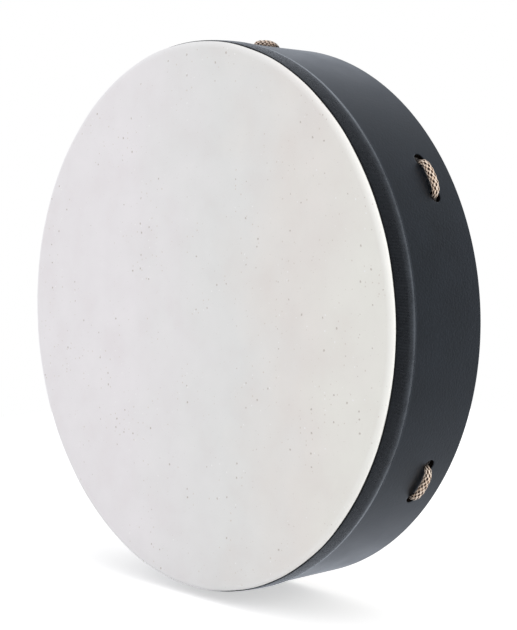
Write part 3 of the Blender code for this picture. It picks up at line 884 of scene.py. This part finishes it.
def braidedRope(name, path, sides, spacing, shares=None, closed=False, sealedEnds=False, flat=1.0):
    path = np.vstack([path, path[:1]]) if closed else path
    travelled = travel(path)
    length = travelled[-1]
    count = round(length / spacing)
    places = np.linspace(0, length, count + 1)
    centres = pointAt(places, travelled, path)
    girth = np.ones(count + 1) if shares is None else np.interp(places, travelled, shares)
    if closed:
        ahead = np.vstack([centres[1:], centres[1:2]])
        behind = np.vstack([centres[-2:-1], centres[:-1]])
        tangents = ahead - behind
    else:
        tangents = np.gradient(centres, axis=0)
    tangents /= np.linalg.norm(tangents, axis=1)[:, None]
    # The section is carried along the rope without turning about it
    normal = np.cross(tangents[0], ropeEnd["sectionStart"])
    normals = []
    for tangent in tangents:
        normal = normal - (normal @ tangent) * tangent
        normal /= np.linalg.norm(normal)
        normals.append(normal)
    normals = np.array(normals)
    others = np.cross(tangents, normals)
    twist = np.zeros(count + 1)
    picks = length / rope["pick"]
    if closed:
        twist = -math.atan2(normals[-1] @ others[0], normals[-1] @ normals[0]) * places / length
        picks = round(picks)
    rounds = np.arange(sides + 1) / sides
    around = np.tile(rounds * rope["carriers"], (count + 1, 1))
    along = np.tile((places / length * picks)[:, None], (1, sides + 1))
    radius = rope["radius"] * girth[:, None] - rope["relief"] * (1 - braidHeight(around, along))
    meltAndHoleShade = np.zeros(count + 1)
    if sealedEnds:
        toEnd = np.minimum(places, length - places)
        meltAndHoleShade = 1 - np.clip(toEnd / ropeEnd["seal"] - ropeEnd["sealStart"], 0, 1)
        toDome = 1 - np.clip(toEnd / ropeEnd["dome"], 0, 1)
        radius *= np.sqrt(np.clip(1 - toDome**2, ropeEnd["domeLeast"], 1))[:, None]
    elif not closed:
        # Inside its hole the rope is darkened with painted shade and some rubbed-off dust, seen from outside
        # and from inside
        fromAxis = np.hypot(centres[:, 0], centres[:, 2])
        if shares is None:
            depth = fromAxis - drum["shellInner"] + ropeEnd["dustAndShadeInside"]
        else:
            depth = drum["wrapOuter"] + ropeEnd["dustAndShadeOutside"] - fromAxis
        lengths = depth / ropeEnd["dustAndShadeLength"]
        meltAndHoleShade = sum(share * np.clip(lengths - i, 0, 1) for i, share in enumerate(ropeEnd["dustAndShadeShares"]))
    angles = 2 * math.pi * rounds[None] + twist[:, None]
    section = radius[..., None] * (
        np.cos(angles)[..., None] * normals[:, None] + np.sin(angles)[..., None] * others[:, None]
    )
    section[..., 1] *= flat
    spots = centres[:, None] + section
    rows = count if closed else count + 1
    vertices = spots[:rows, :sides].reshape(-1, 3)
    row, side = np.meshgrid(np.arange(count), np.arange(sides), indexing="ij")
    row, side = row.ravel(), side.ravel()
    corners = ((row, side), (row, side + 1), (row + 1, side + 1), (row + 1, side))
    quads = np.stack([r % rows * sides + s % sides for r, s in corners], axis=1)
    faces = quads.tolist()
    if not closed:
        faces.append(list(range(sides))[::-1])
        faces.append(list(range(count * sides, (count + 1) * sides)))
    mesh = bpy.data.meshes.new(name)
    mesh.from_pydata(vertices, [], faces)
    mesh.shade_smooth()
    layer = mesh.uv_layers.new(name="braid")
    spread = np.zeros((len(mesh.loops), 2))
    for corner, (r, s) in enumerate(corners):
        spread[corner : 4 * len(quads) : 4] = np.stack([around[r, s], along[r, s]], axis=1)
    layer.data.foreach_set("uv", spread.ravel())
    tone = mesh.attributes.new("meltAndHoleShade", "FLOAT", "POINT")
    tone.data.foreach_set("value", np.repeat(meltAndHoleShade[:rows], sides).astype(np.float32))
    made = placeMesh(mesh, ropeBraid)
    return made


# Stitches are nearest to the eye and have the finest mesh
ropeMesh = {"stitchSides": 96, "stitchSpacing": 0.25 * mm, "sides": 48, "spacing": 0.5 * mm}
for index in range(stitchCount):
    path, shares = stitchPath(index)
    stitch = braidedRope(
        f"ropeStitch{index + 1}", path, ropeMesh["stitchSides"], ropeMesh["stitchSpacing"], shares,
        flat=stitchBend["flat"],
    )
    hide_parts(f"lacing_stitch_{index + 1}")
    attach(stitch, "drum")
    path, out = spanPath(index)
    pieces = [(f"ropeSpan{index + 1}", path, f"lacing_span_{index + 1}", False)]
    if index == knot["span"]:
        pieces.append(("joiningKnot", knotPath(path), "joining_knot", True))
    for name, route, node, sealedEnds in pieces:
        piece = braidedRope(name, route, ropeMesh["sides"], ropeMesh["spacing"], sealedEnds=sealedEnds)
        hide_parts(node)
        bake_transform(piece)
gripRing = braidedRope("gripRing", ringPath(), ropeMesh["sides"], ropeMesh["spacing"], closed=True)
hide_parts("grip_ring")
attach(gripRing, "grip")
print("rope laced")

# Studio: a white tent that is open and dimmer on one side in reflections, soft lamps, and a pale floor that
# keeps the drum's shadow
studio = {
    "tent": 0.735,
    "dimSide": (math.cos(math.radians(-5)), math.sin(math.radians(-5)), 0.2),  # where the tent is open
    # Its brightness in reflections, from the far side to the open one, and the bright wall along +Y
    "sheen": {"From Min": -0.95, "From Max": 0.75, "To Min": 1.15, "To Max": 0.265},
    "backWall": {"From Min": 0.74, "From Max": 0.9},
    "coolSheen": "#ebf2fe",
    "floorSize": 1.9,
    "floorColour": "#f0f0f0",
    "floorGlow": 0.52,
}
lamps = {
    "softKey": {"place": (2.0, 0.4, 0.9), "size": 1.2, "power": 11.5, "colour": "#fffefa"},
    "sideFill": {"place": (2.0, -0.3, -0.1), "size": 1.0, "power": 5.0, "colour": "#fdfffb"},
    "coolFill": {"place": (-1.7, -1.9, 0.9), "size": 1.4, "power": 9.5, "colour": "#f1efff"},
    "topFill": {"place": (0.2, -0.4, 1.9), "size": 1.0, "power": 2.5, "colour": "#fffffd"},
}


def raysSeen(add):
    # What reflections see, and what the camera sees directly or through something clear
    rays = add("LightPath").outputs
    straight = {0: rays["Is Camera Ray"], 1: rays["Is Transmission Ray"]}
    return rays["Is Glossy Ray"], add("Math", straight, operation="ADD", use_clamp=True)


world = bpy.data.worlds.new("whiteTent")
bpy.context.scene.world = world
world.use_nodes = True
world.cycles.sampling_method = "NONE"  # the tent's own light is even, so no part of it is sought out
add = partial(addNode, world.node_tree)
glossy, seen = raysSeen(add)
white = (1, 1, 1, 1)
hue = add("Mix", {0: glossy, 6: white, 7: linear(studio["coolSheen"])}, data_type="RGBA")
heading = add("TexCoord").outputs["Generated"]
facing = add("VectorMath", {0: heading, 1: studio["dimSide"]}, operation="DOT_PRODUCT")
tentSeen = add("MapRange", {"Value": facing, **studio["sheen"]})
backwards = add("SeparateXYZ", {"Vector": heading}).outputs["Y"]
wallSeen = add("MapRange", {"Value": backwards, **studio["backWall"]}, interpolation_type="SMOOTHSTEP")
sheen = add("Mix", {0: wallSeen, 2: tentSeen, 3: 1.0})
mirrored = add("Mix", {0: glossy, 2: studio["tent"], 3: sheen})
strength = add("Mix", {0: seen, 2: mirrored, 3: 1.0})
setInputs(world.node_tree.nodes["Background"], {"Color": hue, "Strength": strength})

for name, lamp in lamps.items():
    light = bpy.data.lights.new(name, "AREA")
    light.shape = "DISK"
    light.size = lamp["size"]
    light.energy = lamp["power"]
    light.color = linear(lamp["colour"])[:3]
    holder = bpy.data.objects.new(name, light)
    holder.location = lamp["place"]
    holder.visible_glossy = False  # only the tent shows in reflections
    holder.rotation_euler = (-Vector(lamp["place"])).to_track_quat("-Z", "Y").to_euler()
    bpy.context.scene.collection.objects.link(holder)

# Floor: matte white studio card. Its own faint glow to the camera lifts it to white outside the shadow
finish = {"Roughness": 0.9, "Base Color": linear(studio["floorColour"]), "Specular IOR Level": 0.0}
card, add, shader = newMaterial("whiteCard", finish)
glossy, seen = raysSeen(add)
lift = add("MapRange", {"Value": seen, "To Max": studio["floorGlow"]})
glow = add("Emission", {"Color": white, "Strength": lift})
lit = add("AddShader", {0: shader, 1: glow})
# Reflections see the tent below too, as if the drum hung free in it
clear = add("BsdfTransparent")
both = add("MixShader", {0: glossy, 1: lit, 2: clear})
setInputs(card.node_tree.nodes["Material Output"], {"Surface": both})
floorMesh = bpy.data.meshes.new("floor")
half, low = studio["floorSize"] / 2, cadBox[0][2]
floorCorners = [(x * half, y * half, low) for x, y in ((-1, -1), (1, -1), (1, 1), (-1, 1))]
floorMesh.from_pydata(floorCorners, [], [(0, 1, 2, 3)])
floor = placeMesh(floorMesh, card)
print("studio lit")

# Camera: turned to the right of the head and a little above it, as found from three circles of the drum
view = {
    "turn": 47.44,  # degrees
    "above": 3.56,
    "lens": 80.32,  # mm
    "sensor": 36,
    "aim": (0.0, -59.9 * mm, 0.0),
    "offset": (-0.2412, 0.0088, 5.144),  # right, down and away from the aim, in shell radii
}
turn, above = math.radians(view["turn"]), math.radians(view["above"])
right = Vector((math.cos(turn), math.sin(turn), 0))
forward = Vector((-math.sin(turn) * math.cos(above), math.cos(turn) * math.cos(above), -math.sin(above)))
down = forward.cross(right)
camera = bpy.data.objects.new("camera", bpy.data.cameras.new("camera"))
camera.data.lens = view["lens"]
camera.data.sensor_width = view["sensor"]
shift = [o * drum["wrapOuter"] for o in view["offset"]]
place = Vector(view["aim"]) - (right * shift[0] + down * shift[1] + forward * shift[2])
camera.matrix_world = Matrix.Translation(place) @ Matrix((right, -down, -forward)).transposed().to_4x4()
bpy.context.scene.collection.objects.link(camera)
bpy.context.scene.camera = camera
bpy.context.scene.view_settings.view_transform = "Standard"
